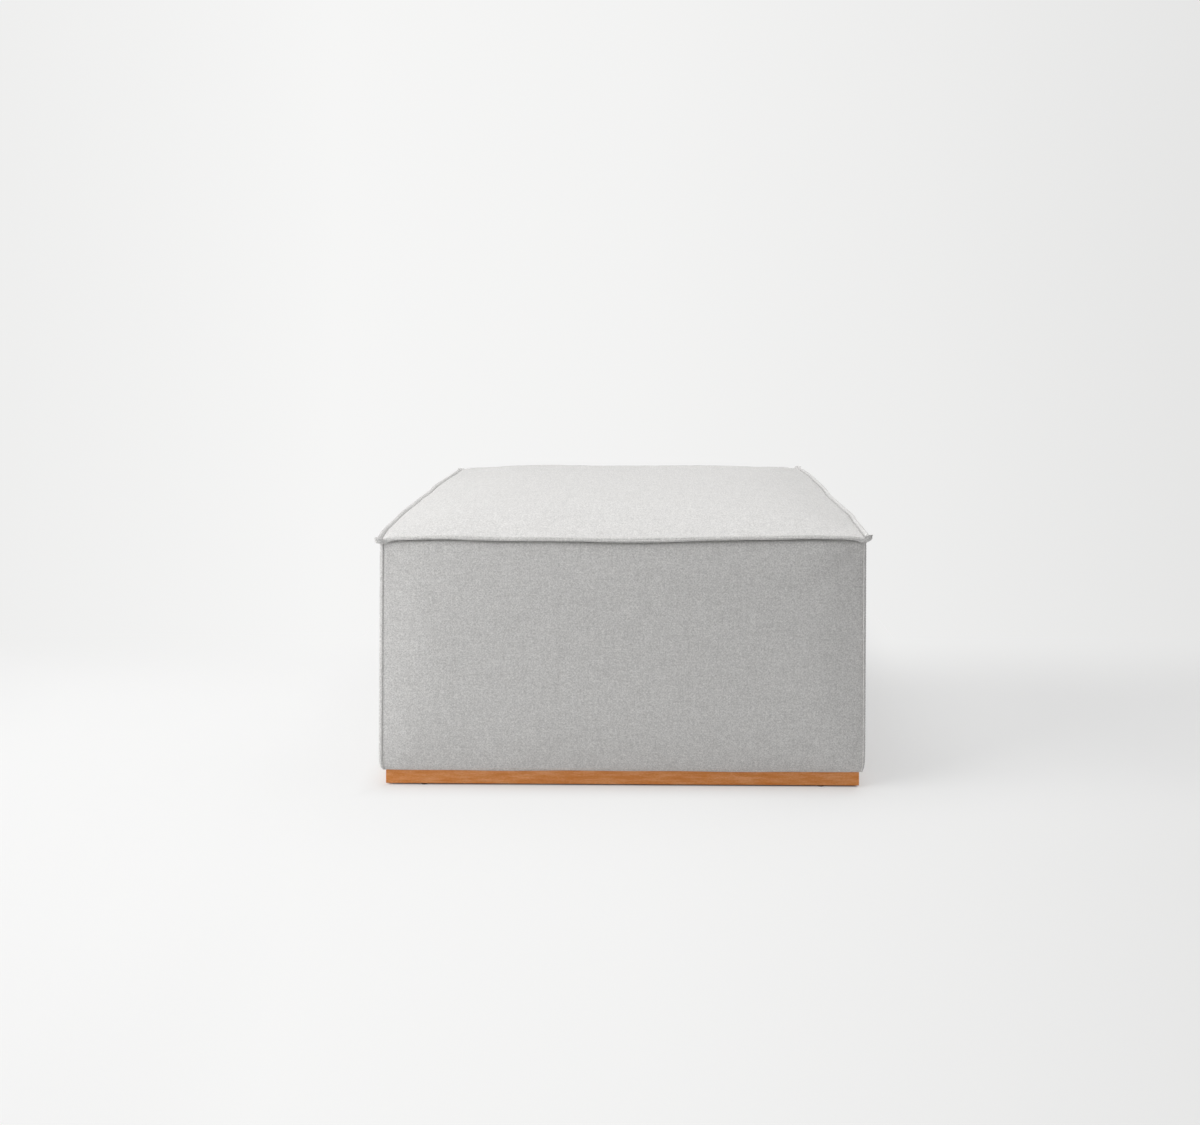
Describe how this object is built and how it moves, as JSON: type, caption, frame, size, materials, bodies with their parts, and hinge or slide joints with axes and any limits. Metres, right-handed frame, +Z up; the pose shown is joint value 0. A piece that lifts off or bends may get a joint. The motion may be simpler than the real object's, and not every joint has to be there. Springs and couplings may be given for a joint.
{
  "type": "upholstered pouf",
  "caption": "Square upholstered pouf with a crowned top, a flanged seam round its edge, flat padded sides and a recessed wooden plinth on glides.",
  "frame": {"origin": "on the floor, under the middle of the pouf", "axes": "+Z is up, +X is to the right seen from the front, and the front faces -Y"},
  "size_m": [0.914, 0.914, 0.4978],
  "materials": {
    "cover_fabric": "light grey melange plain weave",
    "plinth_wood": "orange-brown hardwood, satin oil",
    "frame_timber": "planed softwood",
    "plywood": "sanded plywood",
    "hardboard": "smooth hardboard",
    "webbing": "elastic webbing",
    "foam": "cut foam",
    "wadding": "fibre wadding",
    "dust_cloth": "black non-woven cloth",
    "glide_plastic": "moulded nylon",
    "screw_steel": "zinc plated"
  },
  "bodies": {
    "root": {"glides": "glide_plastic", "plinth_blocks": "plywood", "plinth_screws": "screw_steel", "base_gussets": "plywood", "webbing_across": "webbing", "webbing_lengthwise": "webbing", "seat_foam": "foam", "seat_topper": "foam", "crown_wadding": "wadding", "dust_cover": "dust_cloth", "top_flange": "cover_fabric", "plinth_front": "plinth_wood", "plinth_right": "plinth_wood", "plinth_rear": "plinth_wood", "plinth_left": "plinth_wood", "base_rail_front": "frame_timber", "base_rail_right": "frame_timber", "base_rail_rear": "frame_timber", "base_rail_left": "frame_timber", "base_cross_rail": "frame_timber", "corner_posts": "frame_timber", "studs": "frame_timber", "top_rail_front": "frame_timber", "top_rail_right": "frame_timber", "top_rail_rear": "frame_timber", "top_rail_left": "frame_timber", "top_braces": "frame_timber", "panel_front": "hardboard", "panel_right": "hardboard", "panel_rear": "hardboard", "panel_left": "hardboard", "side_pad_front": "foam", "side_pad_right": "foam", "side_pad_rear": "foam", "side_pad_left": "foam", "cover_top": "cover_fabric", "cover_front": "cover_fabric", "cover_right": "cover_fabric", "cover_rear": "cover_fabric", "cover_left": "cover_fabric", "corner_flange_front_left": "cover_fabric", "corner_flange_front_right": "cover_fabric", "corner_flange_rear_right": "cover_fabric", "corner_flange_rear_left": "cover_fabric"}
  },
  "joints": []
}
